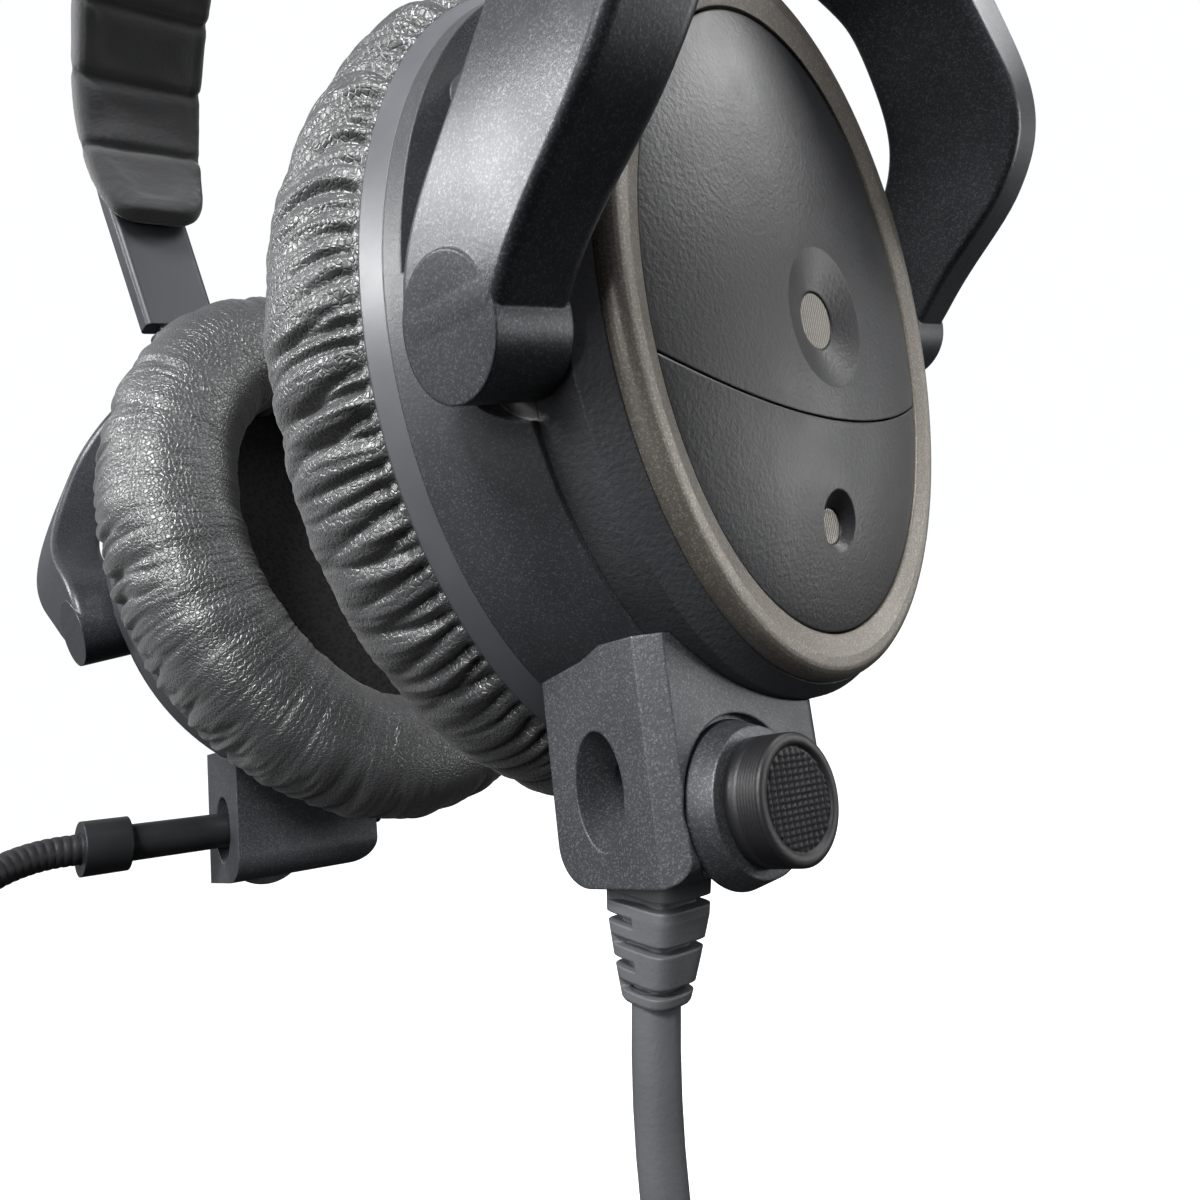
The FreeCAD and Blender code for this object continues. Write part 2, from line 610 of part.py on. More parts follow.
def plug_body():
    grip = rod_z(7.4, PLUG_TOP - 26.0, PLUG_TOP - 6.0, PLUG_X, PLUG_Y)
    boot = Part.makeCone(3.4, 6.4, 6.0, V(PLUG_X, PLUG_Y, PLUG_TOP), V(0, 0, -1))
    nose = rod_z(6.0, PLUG_TOP - 36.0, PLUG_TOP - 26.0, PLUG_X, PLUG_Y)
    return minus(join([grip, boot, nose]), pin_rods(0.8, -1.0))


def plug_sleeve():
    ring = rod_z(8.6, PLUG_TOP - 37.5, PLUG_TOP - 28.0, PLUG_X, PLUG_Y)
    return ring.cut(rod_z(6.05, PLUG_TOP - 50, PLUG_TOP - 20, PLUG_X, PLUG_Y))


def pin_rods(r, extra):
    rods = []
    for i in range(6):
        t = math.radians(60 * i + 30)
        x, y = PLUG_X + 3.6 * math.cos(t), PLUG_Y + 3.6 * math.sin(t)
        rods.append(rod_z(r, PLUG_TOP - 40.0 + extra, PLUG_TOP - 31.0, x, y))
    return rods


def plug_pins():
    return Part.makeCompound(pin_rods(0.8, 0.0))


# ---- parts list ----------------------------------------------------------------------------
def left_side():
    upper, lower = panels()
    cup = {"ear_shell": ear_shell(), "outer_bezel": outer_bezel(), "trim_ring": trim_ring(),
           "upper_panel": upper, "lower_panel": lower, "port_meshes": port_meshes(),
           "baffle": baffle(), "speaker_driver": speaker_driver(), "circuit_board": circuit_board(),
           "ear_cushion": ear_cushion(), "ear_screen": ear_screen(), "cup_screws": cup_screws()}
    side = {name: cup_placed(shape) for name, shape in cup.items()}
    module = {"boom_module": boom_module(), "knob_ring": knob_ring(), "clamp_knob": clamp_knob(),
              "clamp_shoe": clamp_shoe()}
    side.update({name: mod_placed(shape) for name, shape in module.items()})
    side.update({"side_band": side_band(), "band_pad": band_pad(), "slider_stem": slider_stem(),
                 "yoke": yoke(), "yoke_pins": yoke_pins()})
    return side


def centre():
    return {"hinge_housing": hinge_housing(), "top_cover": top_cover(), "cover_screws": cover_screws(),
            "hinge_pins": hinge_pins(), "torsion_springs": torsion_springs(), "crown_pad": crown_pad()}


def boom():
    shapes = {"boom_arm": boom_arm(), "gooseneck": gooseneck(), "mic_housing": mic_housing(),
              "windscreen": windscreen()}
    return {name: flip(mod_placed(shape)) for name, shape in shapes.items()}


def cord(module):
    coil = cord_coil()
    return {"strain_relief": strain_relief(module), "cord_lead": tube(cord_points(), CORD_D / 2).cut(coil),
            "cord_coil": coil, "cord_tail": tube(tail_points(), CORD_D / 2).cut(coil),
            "cable_tie": cable_tie(), "plug_body": plug_body(), "plug_sleeve": plug_sleeve(),
            "plug_pins": plug_pins()}


os.makedirs("parts", exist_ok=True)
left = left_side()
parts = {"left_" + name: shape for name, shape in left.items()}
parts.update({"right_" + name: flip(shape) for name, shape in left.items()})
parts.update(centre())
parts.update(boom())
parts.update(cord(left["boom_module"]))
for name, shape in parts.items():
    shape.exportStep("parts/" + name + ".step")
    print(name, len(shape.Solids), "solids", round(shape.Volume, 1), "mm3", "valid" if shape.isValid() else "BAD")
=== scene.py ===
import json
import math

import bmesh
import bpy
import numpy as np
from mathutils import Matrix, Vector, noise


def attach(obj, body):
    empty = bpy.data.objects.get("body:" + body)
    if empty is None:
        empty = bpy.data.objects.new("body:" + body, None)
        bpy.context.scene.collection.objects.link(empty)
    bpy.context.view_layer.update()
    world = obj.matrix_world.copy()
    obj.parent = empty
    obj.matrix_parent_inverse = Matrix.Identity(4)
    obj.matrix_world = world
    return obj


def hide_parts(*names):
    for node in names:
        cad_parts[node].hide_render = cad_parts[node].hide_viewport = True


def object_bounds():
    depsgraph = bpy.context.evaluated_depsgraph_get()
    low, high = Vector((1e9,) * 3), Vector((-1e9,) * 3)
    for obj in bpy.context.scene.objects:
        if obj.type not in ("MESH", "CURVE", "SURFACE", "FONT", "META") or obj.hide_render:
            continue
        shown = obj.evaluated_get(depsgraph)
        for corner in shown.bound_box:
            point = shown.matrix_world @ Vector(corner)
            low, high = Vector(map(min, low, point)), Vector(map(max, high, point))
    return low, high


# Aviation headset, seen close to its left ear cup.  Everything is in metres in the
# CAD's frame: +Z up, the wearer faces -Y, +X is the wearer's left.

MM = 0.001
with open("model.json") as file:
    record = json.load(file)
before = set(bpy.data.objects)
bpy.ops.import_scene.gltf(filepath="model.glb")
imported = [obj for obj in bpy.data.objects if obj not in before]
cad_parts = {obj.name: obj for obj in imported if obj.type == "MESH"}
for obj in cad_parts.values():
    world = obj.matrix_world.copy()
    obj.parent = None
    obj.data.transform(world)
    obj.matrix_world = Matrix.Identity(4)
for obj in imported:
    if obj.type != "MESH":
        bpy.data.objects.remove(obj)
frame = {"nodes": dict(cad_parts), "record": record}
cad_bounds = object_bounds()
nodes = frame["nodes"]
SIDES = (("left", 1.0), ("right", -1.0))

# cup frame: x outward, y rearward, z up, leaning out at the top
CUP_ORIGIN = Vector((73.0, 0.0, -132.0)) * MM
CUP_TILT = math.radians(8.5)
CUP = Matrix.Translation(CUP_ORIGIN) @ Matrix.Rotation(CUP_TILT, 4, "Y")

# module frame: x outward, y along the boom's bore, z up
MOD_ORIGIN = Vector((53.3, -32.7, -172.4)) * MM
MOD_LEAN = math.radians(-15.0)
MODULE = Matrix.Translation(MOD_ORIGIN) @ Matrix.Rotation(MOD_LEAN, 4, "X")


# ---- camera, light and floor -----------------------------------------------------------
CAMERA_AT = Vector((121.2, -89.8, -155.1)) * MM
CAMERA_WAY = Vector((-0.6945, 0.7195, 0.0016)).normalized()
CAMERA_UP = Vector((0.2205, 0.2108, 0.9524))
CAMERA_LENS, CAMERA_SHIFT = 26.1, -0.0275

# name, place, size and power; all aim at the left cup
LAMP_AIM = Vector((0.06, 0.0, -0.14))
LAMPS = [
    ("key_light", (0.30, -0.34, 0.30), 0.18, 6.6),
    ("front_light", (-0.30, -0.42, 0.30), 0.20, 3.1),
    ("fore_light", (0.21, -0.46, 0.06), 0.22, 1.4),
    ("rear_side_light", (0.38, 0.36, -0.22), 0.22, 0.8),
    ("rear_top_light", (0.42, 0.42, 0.20), 0.28, 2.2),
]
ROOM_LOW, ROOM_HIGH, ROOM_SEEN = 0.03, 0.50, 1.05      # strengths below, above and to look at
FLOOR_HALF, FLOOR_GAP = 6.0, 0.002


def lamp(name, at, size, power):
    """Soft disk of light aimed at the left cup."""
    data = bpy.data.lights.new(name, "AREA")
    data.shape = "DISK"
    data.size = size
    data.energy = power
    obj = bpy.data.objects.new(name, data)
    obj.location = at
    obj.rotation_euler = (LAMP_AIM - Vector(at)).to_track_quat("-Z", "Y").to_euler()
    bpy.context.scene.collection.objects.link(obj)


def light_the_room():
    """White to look at, and otherwise a dim room that is brighter overhead."""
    world = bpy.data.worlds.new("studio")
    world.use_nodes = True
    tree = world.node_tree
    back = tree.nodes["Background"]
    back.inputs["Color"].default_value = (0.95, 0.965, 1.0, 1.0)
    way = tree.nodes.new("ShaderNodeTexCoord")
    split = tree.nodes.new("ShaderNodeSeparateXYZ")
    overhead = tree.nodes.new("ShaderNodeMapRange")
    overhead.inputs["From Min"].default_value = -0.5
    overhead.inputs["From Max"].default_value = 0.9
    overhead.inputs["To Min"].default_value = ROOM_LOW
    overhead.inputs["To Max"].default_value = ROOM_HIGH
    seen = tree.nodes.new("ShaderNodeLightPath")
    mix = tree.nodes.new("ShaderNodeMix")
    mix.inputs["B"].default_value = ROOM_SEEN
    tree.links.new(way.outputs["Generated"], split.inputs["Vector"])
    tree.links.new(split.outputs["Z"], overhead.inputs["Value"])
    tree.links.new(seen.outputs["Is Camera Ray"], mix.inputs["Factor"])
    tree.links.new(overhead.outputs["Result"], mix.inputs["A"])
    tree.links.new(mix.outputs["Result"], back.inputs["Strength"])
    bpy.context.scene.world = world


def place_camera():
    data = bpy.data.cameras.new("camera")
    data.sensor_width = 36.0
    data.lens = CAMERA_LENS
    data.shift_x = CAMERA_SHIFT
    data.clip_start = 0.005
    cam = bpy.data.objects.new("camera", data)
    bpy.context.scene.collection.objects.link(cam)
    right = CAMERA_WAY.cross(CAMERA_UP).normalized()
    up = right.cross(CAMERA_WAY)
    turn = Matrix((right, up, -CAMERA_WAY)).transposed().to_4x4()
    cam.matrix_world = Matrix.Translation(CAMERA_AT) @ turn
    bpy.context.scene.camera = cam


def lay_floor():
    """Wide white floor just under the plug, which casts no light of its own on the object."""
    mesh = bpy.data.meshes.new("floor")
    z = cad_bounds[0][2] - FLOOR_GAP
    corners = [(-1, -1), (1, -1), (1, 1), (-1, 1)]
    mesh.from_pydata([(x * FLOOR_HALF, y * FLOOR_HALF, z) for x, y in corners], [], [(0, 1, 2, 3)])
    floor = bpy.data.objects.new("floor", mesh)
    bpy.context.scene.collection.objects.link(floor)
    mat = bpy.data.materials.new("floor")
    mat.use_nodes = True
    bsdf = mat.node_tree.nodes["Principled BSDF"]
    bsdf.inputs["Base Color"].default_value = (0.9, 0.9, 0.9, 1)
    bsdf.inputs["Roughness"].default_value = 0.9
    bsdf.inputs["Emission Color"].default_value = (1, 1, 1, 1)
    bsdf.inputs["Emission Strength"].default_value = 0.80
    mesh.materials.append(mat)
    floor.visible_diffuse = False
    floor.visible_glossy = False


def stage():
    place_camera()
    light_the_room()
    bpy.context.scene.view_settings.view_transform = "Standard"
    for name, at, size, power in LAMPS:
        lamp(name, at, size, power)
    lay_floor()


# ---- materials ---------------------------------------------------------------------------
class Finish:
    """A node material in object coordinates, in metres, with its usual layers."""

    def __init__(self, name, base, rough, metal=0.0, spec=0.5):
        self.mat = bpy.data.materials.new(name)
        self.mat.use_nodes = True
        self.tree = self.mat.node_tree
        self.bsdf = self.tree.nodes["Principled BSDF"]
        self.bsdf.inputs["Metallic"].default_value = metal
        self.bsdf.inputs["Specular IOR Level"].default_value = spec
        self.base = base
        self.color = self.rgb(base)
        self.rough = self.value(rough)
        self.coords = self.tree.nodes.new("ShaderNodeTexCoord").outputs["Object"]
        self.normal = None
        self.bumps = []

    def rgb(self, c):
        n = self.tree.nodes.new("ShaderNodeRGB")
        n.outputs[0].default_value = (*c, 1.0)
        return n.outputs[0]

    def value(self, v):
        n = self.tree.nodes.new("ShaderNodeValue")
        n.outputs[0].default_value = v
        return n.outputs[0]

    def put(self, kind, links=(), **settings):
        n = self.tree.nodes.new(kind)
        for key, v in settings.items():
            setattr(n, key, v)
        for socket, source in dict(links).items():
            if hasattr(source, "links"):
                self.tree.links.new(source, n.inputs[socket])
            else:
                n.inputs[socket].default_value = source
        return n

    def noise(self, scale, detail=2.0, rough=0.5, coords=None):
        n = self.put("ShaderNodeTexNoise", {"Vector": coords or self.coords, "Scale": scale,
                                            "Detail": detail, "Roughness": rough})
        return n.outputs["Fac"]

    def math(self, op, a, b=0.0, clamp=False):
        n = self.put("ShaderNodeMath", {0: a, 1: b}, operation=op, use_clamp=clamp)
        return n.outputs[0]

    def ramp(self, fac, lo, hi):
        """fac from lo..hi to 0..1."""
        n = self.put("ShaderNodeMapRange", {"Value": fac, "From Min": lo, "From Max": hi})
        return n.outputs["Result"]

    def tint(self, fac, color, amount=1.0):
        n = self.put("ShaderNodeMix", data_type="RGBA")
        self.tree.links.new(self.math("MULTIPLY", fac, amount), n.inputs["Factor"])
        self.tree.links.new(self.color, n.inputs["A"])
        n.inputs["B"].default_value = (*color, 1.0)
        self.color = n.outputs["Result"]

    def mottle(self, scale, amount):
        """Slow light and dark patches and a slight change of gloss with them."""
        fac = self.ramp(self.noise(scale, 3.0), 0.35, 0.65)
        self.tint(fac, tuple(c * (1 + amount) for c in self.base), 1.0)
        self.rough = self.math("ADD", self.rough, self.math("MULTIPLY", fac, 0.06))

    def flecks(self, scale, color, cover=0.6, amount=0.8):
        """Bright metallic flakes in the paint."""
        n = self.put("ShaderNodeTexVoronoi", {"Vector": self.coords, "Scale": scale})
        pick = self.put("ShaderNodeSeparateColor", {"Color": n.outputs["Color"]}).outputs["Red"]
        fac = self.ramp(pick, cover, 1.0)
        self.tint(fac, color, amount)

    def bump(self, height, depth):
        self.bumps.append((height, depth))

    def grain(self, scale, depth, detail=2.0):
        self.bump(self.noise(scale, detail, 0.6), depth)

    def done(self, rounded=0.0):
        normal = None
        if rounded:
            normal = self.put("ShaderNodeBevel", {"Radius": rounded}, samples=6).outputs["Normal"]
        for height, depth in self.bumps:
            links = {"Height": height, "Distance": depth, "Strength": 1.0}
            if normal is not None:
                links["Normal"] = normal
            normal = self.put("ShaderNodeBump", links).outputs["Normal"]
        if normal is not None:
            self.tree.links.new(normal, self.bsdf.inputs["Normal"])
        self.tree.links.new(self.color, self.bsdf.inputs["Base Color"])
        self.tree.links.new(self.rough, self.bsdf.inputs["Roughness"])
        return self.mat


def plastic(name, base, rough, grain, depth, flakes=None, rounded=0.35, metal=0.0, spec=0.5):
    """Moulded or painted part: slow mottling, fine grain, rounded edges and perhaps flakes in the paint."""
    f = Finish(name, base, rough, metal, spec)
    f.mottle(140.0, 0.12)
    if flakes:
        f.flecks(FLAKE_SCALE, *flakes)
    f.grain(grain, depth * MM)
    return f.done(rounded * MM)


def port_mesh():
    """Woven wire: fine ribs one way and wider ones across them."""
    f = Finish("mesh", (0.42, 0.40, 0.36), 0.45, 0.7)
    sep = f.put("ShaderNodeSeparateXYZ", {"Vector": f.coords})
    rib = f.math("SINE", f.math("MULTIPLY", sep.outputs["Y"], 2 * math.pi / 0.00042))
    cross = f.math("SINE", f.math("MULTIPLY", sep.outputs["Z"], 2 * math.pi / 0.0009))
    # painted shade: the troughs of the fine ribs are darkened in colour, as shade in the grooves between
    # the wires
    f.tint(f.ramp(rib, -0.2, -1.0), (0.10, 0.095, 0.085), 0.9)
    f.bump(f.ramp(rib, -1.0, 1.0), 0.08 * MM)
    f.bump(f.ramp(cross, -1.0, 1.0), 0.03 * MM)
    return f.done()


def leather():
    """Pebbled cushion leather: small cells with sunk borders."""
    f = Finish("leather", (0.025, 0.0255, 0.0265), 0.36, spec=0.75)
    f.mottle(120.0, 0.25)
    cells = f.put("ShaderNodeTexVoronoi", {"Vector": f.coords, "Scale": 1400.0}, feature="DISTANCE_TO_EDGE")
    f.bump(f.ramp(cells.outputs["Distance"], 0.0, 0.20), 0.05 * MM)
    f.grain(420.0, 0.05 * MM, 4.0)
    f.bsdf.inputs["Sheen Weight"].default_value = 0.1
    return f.done()


def pad_cloth():
    f = Finish("pad_cloth", (0.018, 0.0185, 0.02), 0.8)
    f.mottle(90.0, 0.3)
    f.grain(1400.0, 0.12 * MM, 3.0)
    f.bsdf.inputs["Sheen Weight"].default_value = 0.35
    return f.done()


def screen_cloth():
    """Open black cloth over the speaker."""
    # the cloth is black, and its base and weave colours are made darker still as painted shade for the dark
    # inside of the cup
    f = Finish("cloth", (0.004, 0.004, 0.0045), 0.95, spec=0.2)
    weave = f.put("ShaderNodeTexVoronoi", {"Vector": f.coords, "Scale": 1100.0}).outputs["Distance"]
    f.bump(weave, 0.15 * MM)
    # painted shade as well: the hollows of the weave stay darker than the raised threads
    f.tint(f.ramp(weave, 0.2, 0.6), (0.010, 0.010, 0.011), 0.8)
    return f.done()


def foam():
    f = Finish("foam", (0.010, 0.010, 0.011), 0.95)
    f.grain(1700.0, 0.5 * MM, 4.0)
    f.bsdf.inputs["Sheen Weight"].default_value = 0.2
    return f.done()


FLAKE_SCALE = 6800
# name, base colour, roughness, grain scale and grain depth in mm; then what else sets it apart,
# where flakes are their colour, the share of cells left bare and their strength
PLASTICS = [
    ("shell", (0.026, 0.027, 0.030), 0.42, 2600, 0.026, {"flakes": ((0.075, 0.079, 0.087), 0.76, 0.65)}),
    ("bezel", (0.030, 0.031, 0.034), 0.46, 1700, 0.10, {}),
    ("bronze", (0.125, 0.113, 0.098), 0.42, 2800, 0.02,
     {"flakes": ((0.28, 0.257, 0.23), 0.62, 0.7), "metal": 0.5}),
    ("panel", (0.012, 0.0125, 0.014), 0.42, 1900, 0.055, {}),
    ("flange", (0.060, 0.063, 0.069), 0.38, 5200, 0.006, {}),
    ("inner_plastic", (0.02, 0.02, 0.022), 0.6, 1800, 0.03, {}),
    ("module", (0.028, 0.030, 0.033), 0.42, 2400, 0.03,
     {"flakes": ((0.095, 0.10, 0.108), 0.68, 0.75), "metal": 0.25}),
    ("ring_metal", (0.044, 0.046, 0.050), 0.38, 2600, 0.02,
     {"flakes": ((0.12, 0.125, 0.135), 0.66, 0.7), "metal": 0.6}),
    ("knob", (0.008, 0.008, 0.009), 0.42, 3500, 0.02, {"spec": 0.35}),
    ("yoke", (0.026, 0.028, 0.031), 0.34, 3000, 0.014,
     {"flakes": ((0.085, 0.090, 0.098), 0.66, 0.75), "metal": 0.45, "rounded": 0.4}),
    ("band", (0.03, 0.032, 0.036), 0.42, 3000, 0.018, {"metal": 0.3}),
    ("housing", (0.022, 0.023, 0.026), 0.5, 1900, 0.05, {}),
    ("steel_rod", (0.03, 0.031, 0.034), 0.35, 4000, 0.008, {"metal": 0.6}),
    ("steel", (0.45, 0.45, 0.47), 0.3, 3000, 0.006, {"metal": 1.0}),
    ("plug", (0.014, 0.014, 0.016), 0.48, 2200, 0.04, {}),
    ("plug_metal", (0.55, 0.55, 0.57), 0.28, 3000, 0.005, {"metal": 1.0}),
    ("tie", (0.012, 0.012, 0.012), 0.6, 1600, 0.05, {}),
    ("board", (0.01, 0.05, 0.025), 0.35, 900, 0.02, {}),
    ("cord", (0.060, 0.062, 0.066), 0.5, 1500, 0.05, {"rounded": 0.0}),
    ("cord_rubber", (0.070, 0.072, 0.076), 0.5, 1900, 0.045, {}),
    ("gooseneck", (0.015, 0.015, 0.017), 0.45, 2500, 0.02, {}),
]


def make_materials():
    """One material for each of the record's material slots, by the slot's name."""
    made = {name: plastic(name, *look, **more) for name, *look, more in PLASTICS}
    made.update({"mesh": port_mesh(), "leather": leather(), "pad_cloth": pad_cloth(),
                 "cloth": screen_cloth(), "foam": foam()})
    return made


def paint(obj, name):
    obj.data.materials.clear()
    obj.data.materials.append(materials[name])


def paint_frame():
    """Every CAD node gets the finish of its material slot."""
    for entry in frame["record"]["subparts"]:
        obj = nodes[entry["node"]]
        if not obj.material_slots:
            obj.data.materials.append(None)
        for slot in obj.material_slots:
            slot.material = materials[entry["material_slot"]]


# ---- soft goods and detailed pieces ------------------------------------------------------
CUSHION_OUT = [(-27.0, 39.6, 50.6), (-29.5, 41.4, 53.0), (-33.0, 42.4, 54.4), (-37.5, 42.7, 54.8),
               (-42.0, 42.3, 54.2), (-46.0, 40.8, 52.4), (-48.8, 38.4, 49.6), (-50.3, 34.6, 45.4)]
CUSHION_IN = [(-50.4, 27.4, 38.6), (-47.0, 23.4, 34.6), (-43.0, 21.8, 32.8), (-37.0, 22.0, 33.0),
              (-31.0, 23.4, 34.4), (-26.9, 23.6, 34.6)]
PERIMETER = 305.0                  # mm round the cushion's widest line
# deep pleats at the seam, fine ones among them, and those round the opening
PLEATS, HEM_PLEATS, FACE_PLEATS = 118, 236, 60


def grid_faces(n, m, wrap_n=True, wrap_m=False):
    """Quads of an n by m grid of vertices numbered i * m + j."""
    faces = []
    for i in range(n if wrap_n else n - 1):
        a, b = i * m, ((i + 1) % n) * m
        for j in range(m if wrap_m else m - 1):
            k = (j + 1) % m
            faces.append((a + j, a + k, b + k, b + j))
    return faces


def add_mesh(name, verts, faces, where=None, mirror=False):
    """Mesh object from points in mm of the frame `where`; mirror puts it on the right side."""
    pts = np.asarray(verts, dtype=float).reshape(-1, 3) * MM
    if where is not None:
        m = np.array(where)
        pts = pts @ m[:3, :3].T + m[:3, 3]
    if mirror:
        pts = pts * (-1.0, 1.0, 1.0)
    mesh = bpy.data.meshes.new(name)
    mesh.from_pydata(pts.tolist(), [], faces)
    bm = bmesh.new()
    bm.from_mesh(mesh)
    bmesh.ops.remove_doubles(bm, verts=bm.verts, dist=1e-6)
    bmesh.ops.recalc_face_normals(bm, faces=bm.faces)
    bm.to_mesh(mesh)
    bm.free()
    mesh.polygons.foreach_set("use_smooth", [True] * len(mesh.polygons))
    obj = bpy.data.objects.new(name, mesh)
    bpy.context.scene.collection.objects.link(obj)
    return obj


def stands_for(obj, node, body):
    """The object replaces a plain CAD node, in that node's slot and on its body."""
    slot = next(e["material_slot"] for e in frame["record"]["subparts"] if e["node"] == node)
    paint(obj, slot)
    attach(obj, body)
    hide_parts(node)
    return obj


def inflate(points, faces, held, cap):
    """Cloth under pressure with gravity off; moved points in mm, each by no more than cap."""
    mesh = bpy.data.meshes.new("cloth_trial")
    mesh.from_pydata((points * MM).tolist(), [], faces)
    obj = bpy.data.objects.new("cloth_trial", mesh)
    scene = bpy.context.scene
    scene.collection.objects.link(obj)
    obj.vertex_groups.new(name="held").add([int(i) for i in held], 1.0, "REPLACE")
    cloth = obj.modifiers.new("cloth", "CLOTH")
    cloth.settings.quality = 6
    cloth.settings.vertex_group_mass = "held"
    cloth.settings.use_pressure = True
    cloth.settings.uniform_pressure_force = 4.0
    cloth.settings.effector_weights.gravity = 0.0
    cloth.point_cache.frame_start = 1
    cloth.point_cache.frame_end = 20
    for f in range(1, 21):
        scene.frame_set(f)
    shape = obj.evaluated_get(bpy.context.evaluated_depsgraph_get()).to_mesh()
    out = np.empty(len(points) * 3)
    shape.vertices.foreach_get("co", out)
    scene.frame_set(1)
    bpy.data.objects.remove(obj)
    move = out.reshape(-1, 3) / MM - points
    move[~np.isfinite(move).all(axis=1)] = 0.0
    size = np.linalg.norm(move, axis=1, keepdims=True)
    return move * np.minimum(1.0, cap / np.maximum(size, 1e-9))


def smooth_profile(knots, count):
    """Even samples of a Catmull-Rom curve through the knots, with the length run so far."""
    k = np.array([knots[0]] + list(knots) + [knots[-1]], dtype=float)
    t = np.linspace(0, 1, 24, endpoint=False)[:, None]
    run = []
    for p0, p1, p2, p3 in zip(k, k[1:], k[2:], k[3:]):
        run.append(0.5 * (2 * p1 + (p2 - p0) * t + (2 * p0 - 5 * p1 + 4 * p2 - p3) * t ** 2
                          + (3 * p1 - p0 - 3 * p2 + p3) * t ** 3))
    run = np.vstack(run + [k[-1][None, :]])
    step = np.linalg.norm(np.diff(run[:, :2], axis=0), axis=1)
    far = np.concatenate([[0.0], np.cumsum(step)])
    at = np.linspace(0, far[-1], count)
    return np.stack([np.interp(at, far, run[:, i]) for i in range(3)], 1), at


def even_angles(count):
    """Angles round the cushion at even steps along its edge."""
    t = np.linspace(0, 2 * np.pi, 2001)
    step = np.hypot(42.7 * np.sin(t[1:]), 54.8 * np.cos(t[1:]))
    far = np.concatenate([[0.0], np.cumsum(step)])
    return np.interp(np.arange(count) * far[-1] / count, far, t)


def cushion_grid(around, across):
    profile, far = smooth_profile(CUSHION_OUT + CUSHION_IN, across)
    angle = even_angles(around)
    x, a, b = profile.T
    drop = 0.05 * np.minimum(x + 9.0, 0.0)
    pts = np.empty((around, across, 3))
    pts[..., 0] = x
    pts[..., 1] = a * np.cos(angle)[:, None]
    pts[..., 2] = drop + b * np.sin(angle)[:, None]
    return pts, far


def grid_normals(pts):
    """Outward normals of a grid that closes on itself in its first direction."""
    du = np.roll(pts, -1, axis=0) - np.roll(pts, 1, axis=0)
    dv = np.gradient(pts, axis=1)
    n = np.cross(du, dv)
    return n / np.maximum(np.linalg.norm(n, axis=2, keepdims=True), 1e-9)


def pleat_depth(place, far, rng, count, reach, deep):
    """Depth of gathered pleats at `place` turns round the cushion and `far` mm from the seam."""
    at = np.sort((np.arange(count) + rng.uniform(-0.2, 0.2, count)) / count)
    depth = deep * rng.uniform(0.7, 1.25, count)
    length = rng.uniform(reach[0], reach[1], count)
    slant = rng.uniform(-0.0005, 0.0009, count)
    out = np.zeros(np.broadcast(place, far).shape)
    for k in range(count):
        gap = place - at[k] - slant[k] * far
        gap = np.abs((gap + 0.5) % 1.0 - 0.5) * PERIMETER
        fade = np.clip(1.0 - far / length[k], 0.0, 1.0)
        out += depth[k] * fade ** 0.8 * np.exp(-(gap / (0.5 + 0.035 * far)) ** 1.2)
    return out


def wrinkle_noise(pts, stretch, scale, seed):
    """Noise over the grid, drawn out along the second direction."""
    n, m = pts.shape[:2]
    out = np.empty((n, m))
    for i in range(n):
        turn = 2 * math.pi * i / n
        cx, cy = scale * math.cos(turn), scale * math.sin(turn)
        for j in range(m):
            out[i, j] = noise.noise(Vector((cx, cy, j * stretch + seed)))
    return out


def resample(field, n, m):
    """Spread a coarse grid's field over an n by m grid of the same surface."""
    cn, cm = field.shape[:2]
    closed = np.concatenate([field, field[:1]], axis=0)
    rows = np.arange(n) * cn / n
    cols = np.linspace(0, cm - 1, m)
    mid = np.empty((n, cm, 3))
    out = np.empty((n, m, 3))
    for k in range(3):
        for j in range(cm):
            mid[:, j, k] = np.interp(rows, np.arange(cn + 1), closed[:, j, k])
        for i in range(n):
            out[i, :, k] = np.interp(cols, np.arange(cm), mid[i, :, k])
    return out


def cushion_swell():
    """How the coarse cushion swells under pressure, held at its two seams."""
    around, across = 96, 30
    pts, far = cushion_grid(around, across)
    held = [i * across + j for i in range(around) for j in (0, 1, across - 2, across - 1)]
    move = inflate(pts.reshape(-1, 3), grid_faces(around, across, True, True), held, 0.9)
    return move.reshape(around, across, 3)


def build_cushions():
    around, across = ((1100, 60))
    pts, far = cushion_grid(around, across)
    pts = pts + resample(cushion_swell(), around, across)
    total = far[-1]
    normal = grid_normals(pts)
    outward = np.sign(np.mean(normal[:, across // 4] * (pts[:, across // 4] * (0, 1, 1))))
    normal *= outward
    place = (np.arange(around) / around)[:, None]
    wander = 0.0016 * wrinkle_noise(pts, 0.09, 14.0, 3.0)
    rng = np.random.default_rng(11)
    dent = pleat_depth(place + wander, far[None, :], rng, PLEATS, (10.0, 28.0), 1.35)
    dent += pleat_depth(place + wander, far[None, :], rng, HEM_PLEATS, (3.0, 9.0), 0.25)
    back = (total - far)[None, :]
    dent += pleat_depth(place + wander, back, rng, FACE_PLEATS, (9.0, 26.0), 0.55)
    near = np.exp(-far[None, :] / 9.0)
    dent += wrinkle_noise(pts, 0.12, 60.0, 9.0) * (0.10 + 0.35 * near)
    dent += wrinkle_noise(pts, 0.05, 9.0, 17.0) * 0.35
    dent += 0.7 * np.exp(-far[None, :] / 0.7)
    ease = np.clip(far / 0.8, 0, 1) * np.clip((total - far) / 0.8, 0, 1)
    pts = pts - normal * (dent * ease[None, :])[..., None]
    faces = grid_faces(around, across, True, True)
    for side, sign in SIDES:
        obj = add_mesh(f"{side}_cushion_leather", pts, faces, CUP, mirror=sign < 0)
        stands_for(obj, f"{side}_ear_cushion", f"{side}_cup")


# band path, as in the CAD: a crown arc, a shoulder arc and the leg
BAND_R1, BAND_A1, BAND_TOP, LEG_X = 105.0, math.radians(40.0), 16.0, 79.0
BAND_R2 = (LEG_X - BAND_R1 * math.sin(BAND_A1)) / (1 - math.sin(BAND_A1))


